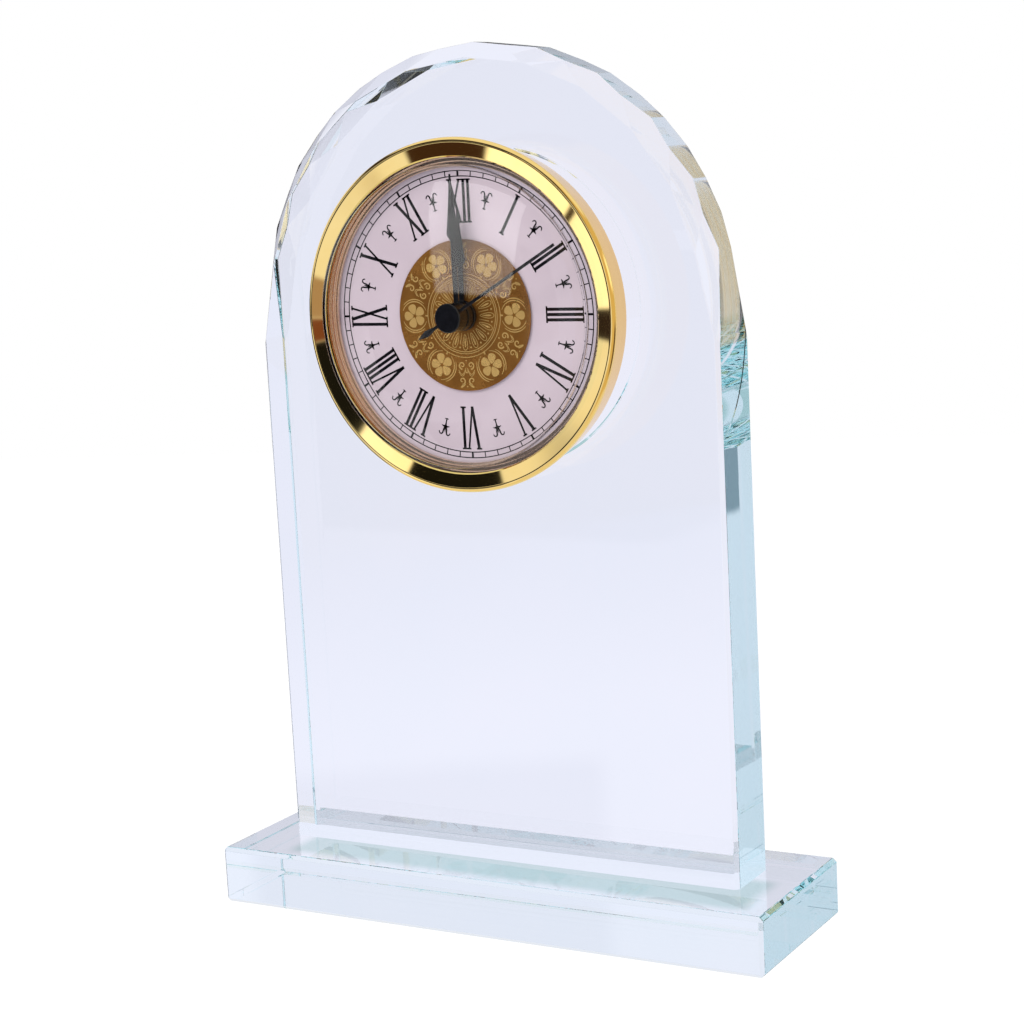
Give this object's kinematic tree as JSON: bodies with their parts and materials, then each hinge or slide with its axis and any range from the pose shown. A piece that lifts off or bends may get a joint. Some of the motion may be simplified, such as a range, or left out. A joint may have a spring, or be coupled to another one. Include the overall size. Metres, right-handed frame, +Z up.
{
  "type": "clock",
  "caption": "Arched clear crystal desk clock on a glass base with a gilt bezel, Roman dial and black hands",
  "frame": {"origin": "centre of the base's underside", "axes": "+Z up, +X to the right of someone facing the dial, -Y the side that the dial faces"},
  "size_m": [0.16, 0.05, 0.2273],
  "materials": {
    "crystal_glass": "polished clear optical glass",
    "lens_glass": "clear domed lens",
    "gilt_brass": "polished gilt",
    "reflector_cream": "satin champagne",
    "dial_lacquer": "smooth white lacquer with black print",
    "gilt_print": "satin gilt print",
    "hand_black": "black lacquer",
    "case_plastic": "moulded black",
    "wheel_plastic": "natural acetal",
    "gasket_rubber": "matte ivory",
    "plated_steel": "nickel plated",
    "wheel_brass": "plain",
    "coil_wire": "enamelled copper wire",
    "board_laminate": "green solder mask"
  },
  "bodies": {
    "stand": {"glass_base": "crystal_glass", "glass_slab": "crystal_glass"},
    "insert": {"bezel": "gilt_brass", "lens": "lens_glass", "reflector_ring": "reflector_cream", "dial": "dial_lacquer", "dial_centre": "gilt_print", "insert_case": "case_plastic", "gasket": "gasket_rubber", "movement_plate": "case_plastic", "movement_cover": "case_plastic", "train_bridge": "wheel_brass", "case_screw_1": "plated_steel", "case_screw_2": "plated_steel", "case_screw_3": "plated_steel", "stator": "plated_steel", "coil_core": "plated_steel", "coil": "coil_wire", "contact_leaf": "plated_steel", "contact_spring": "plated_steel", "circuit_board": "board_laminate", "quartz_can": "plated_steel"},
    "cell": {"button_cell": "plated_steel"},
    "seconds": {"seconds_wheel": "wheel_plastic", "seconds_hand": "hand_black"},
    "rotor": {"rotor": "plated_steel"},
    "intermediate": {"intermediate_wheel": "wheel_plastic"},
    "third": {"third_wheel": "wheel_plastic"},
    "centre": {"centre_wheel": "wheel_brass"},
    "minutes": {"cannon_pinion": "wheel_brass", "minute_hand": "hand_black"},
    "minute_wheel": {"minute_wheel": "wheel_plastic"},
    "hours": {"hour_wheel": "wheel_brass", "hour_hand": "hand_black"},
    "knob": {"setting_knob": "wheel_plastic"}
  },
  "joints": [
    {"name": "insert_slide", "type": "slide", "parent": "stand", "child": "insert", "axis": [0, -1, 0], "range_m": [0, 0.03]},
    {"name": "cell_slide", "type": "slide", "parent": "insert", "child": "cell", "axis": [0, 1, 0], "range_m": [0, 0.012]},
    {"name": "seconds_turn", "type": "hinge", "parent": "insert", "child": "seconds", "pos_m": [0, -0.0082, 0.1598], "axis": [0, 1, 0], "continuous": true},
    {"name": "rotor_turn", "type": "hinge", "parent": "insert", "child": "rotor", "pos_m": [-0.00922, -0.0082, 0.16512], "axis": [0, 1, 0], "continuous": true},
    {"name": "intermediate_turn", "type": "hinge", "parent": "insert", "child": "intermediate", "pos_m": [-0.00468, -0.0082, 0.1625], "axis": [0, 1, 0], "continuous": true},
    {"name": "third_turn", "type": "hinge", "parent": "insert", "child": "third", "pos_m": [0.00662, -0.0082, 0.16362], "axis": [0, 1, 0], "continuous": true},
    {"name": "centre_turn", "type": "hinge", "parent": "insert", "child": "centre", "pos_m": [0, -0.0082, 0.1598], "axis": [0, 1, 0], "continuous": true},
    {"name": "minutes_turn", "type": "hinge", "parent": "insert", "child": "minutes", "pos_m": [0, -0.0082, 0.1598], "axis": [0, 1, 0], "continuous": true},
    {"name": "minute_wheel_turn", "type": "hinge", "parent": "insert", "child": "minute_wheel", "pos_m": [0, -0.0082, 0.1538], "axis": [0, 1, 0], "continuous": true},
    {"name": "hours_turn", "type": "hinge", "parent": "insert", "child": "hours", "pos_m": [0, -0.0082, 0.1598], "axis": [0, 1, 0], "continuous": true},
    {"name": "knob_turn", "type": "hinge", "parent": "insert", "child": "knob", "pos_m": [0, -0.0082, 0.1481], "axis": [0, 1, 0], "continuous": true}
  ],
  "couplings": [
    {"joint": "rotor_turn", "follows": "seconds_turn", "ratio": 30},
    {"joint": "intermediate_turn", "follows": "seconds_turn", "ratio": -5},
    {"joint": "third_turn", "follows": "seconds_turn", "ratio": -0.13333},
    {"joint": "centre_turn", "follows": "seconds_turn", "ratio": 0.016667},
    {"joint": "minute_wheel_turn", "follows": "minutes_turn", "ratio": -0.33333},
    {"joint": "hours_turn", "follows": "minutes_turn", "ratio": 0.083333},
    {"joint": "knob_turn", "follows": "minutes_turn", "ratio": 1.25}
  ]
}
